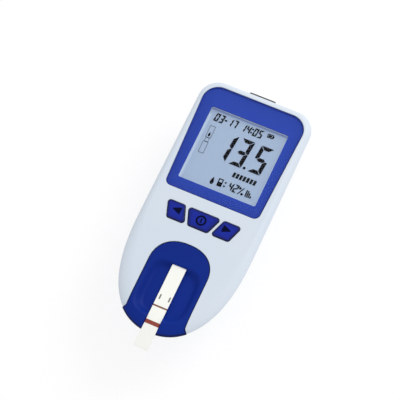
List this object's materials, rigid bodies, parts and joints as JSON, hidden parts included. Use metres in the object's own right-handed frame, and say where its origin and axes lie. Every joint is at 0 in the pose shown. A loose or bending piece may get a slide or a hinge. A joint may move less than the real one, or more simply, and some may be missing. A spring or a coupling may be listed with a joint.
{
  "type": "hemoglobin meter",
  "caption": "Handheld strip-reading blood meter with a blue-framed display, shaped push buttons and a pull-out strip tray.",
  "frame": {"origin": "centre of the bounding box's underside, strip and chip included, on the plane the feet rest on", "axes": "+Z out of the face, +Y along the case towards the display end, +X to the user's right"},
  "size_m": [0.058, 0.1366, 0.0325],
  "materials": {
    "case_plastic": "fine matte moulding, pale blue-grey",
    "clear_window": "clear polished acrylic",
    "border_blue": "blue behind the clear window",
    "tray_blue": "satin deep blue",
    "button_blue": "glossy deep blue",
    "lcd_glass": "grey-blue reflective liquid crystal",
    "reflector_foil": "brushed foil",
    "white_plastic": "plain white moulding",
    "connector_rubber": "layered conductive rubber",
    "circuit_board": "green solder mask",
    "black_plastic": "matte black",
    "nickel_plate": "nickel plate",
    "capacitor_tan": "coated ceramic",
    "led_epoxy": "tinted clear epoxy",
    "strip_plastic": "cream film on card",
    "reagent_membrane": "absorbent membrane",
    "cable_film": "polyimide-like film",
    "battery_sleeve": "plain printed sleeve",
    "chip_plastic": "dark grey moulding",
    "screw_steel": "zinc plated",
    "foot_rubber": "soft black rubber"
  },
  "bodies": {
    "case": {"top_case": "case_plastic", "bottom_case": "case_plastic", "display_window": "clear_window", "display_border": "border_blue", "display_glass": "lcd_glass", "display_reflector": "reflector_foil", "display_frame": "white_plastic", "connector_strips": "connector_rubber", "main_board": "circuit_board", "sensor_board": "circuit_board", "microcontroller": "black_plastic", "amplifier_chip": "black_plastic", "memory_chip": "black_plastic", "crystal": "nickel_plate", "board_resistors": "black_plastic", "board_capacitors": "capacitor_tan", "buzzer": "black_plastic", "key_switches": "nickel_plate", "optics_block": "black_plastic", "optics_window": "clear_window", "measuring_leds": "led_epoxy", "photodiode": "nickel_plate", "flat_cable": "cable_film", "battery_left": "battery_sleeve", "battery_middle": "battery_sleeve", "battery_right": "battery_sleeve", "battery_springs": "nickel_plate", "positive_contacts": "nickel_plate", "spring_plates": "nickel_plate", "battery_leads": "nickel_plate", "chip_socket": "white_plastic", "case_screws": "screw_steel", "board_screws": "screw_steel", "rubber_feet": "foot_rubber"},
    "left_key": {"left_button": "button_blue", "left_plunger": "black_plastic"},
    "power_key": {"power_button": "button_blue", "power_plunger": "black_plastic"},
    "right_key": {"right_button": "button_blue", "right_plunger": "black_plastic"},
    "tray": {"strip_tray": "tray_blue"},
    "strip": {"test_strip": "strip_plastic", "reagent_pad": "reagent_membrane"},
    "cover": {"battery_cover": "case_plastic"},
    "chip": {"code_chip": "chip_plastic"}
  },
  "joints": [
    {"name": "left_press", "type": "slide", "parent": "case", "child": "left_key", "axis": [0, 0, -1], "range_m": [0, 0.0006], "stiffness_N_per_m": 500},
    {"name": "power_press", "type": "slide", "parent": "case", "child": "power_key", "axis": [0, 0, -1], "range_m": [0, 0.0006], "stiffness_N_per_m": 500},
    {"name": "right_press", "type": "slide", "parent": "case", "child": "right_key", "axis": [0, 0, -1], "range_m": [0, 0.0006], "stiffness_N_per_m": 500},
    {"name": "tray_slide", "type": "slide", "parent": "case", "child": "tray", "axis": [0, -1, 0], "range_m": [0, 0.05]},
    {"name": "strip_slide", "type": "slide", "parent": "tray", "child": "strip", "axis": [0, -1, 0], "range_m": [0, 0.045]},
    {"name": "cover_hinge", "type": "hinge", "parent": "case", "child": "cover", "pos_m": [0, 0.0039, 0.0006], "axis": [-1, 0, 0], "range_deg": [0, 75]},
    {"name": "chip_pull", "type": "slide", "parent": "case", "child": "chip", "axis": [0, 1, 0], "range_m": [0, 0.012]}
  ]
}
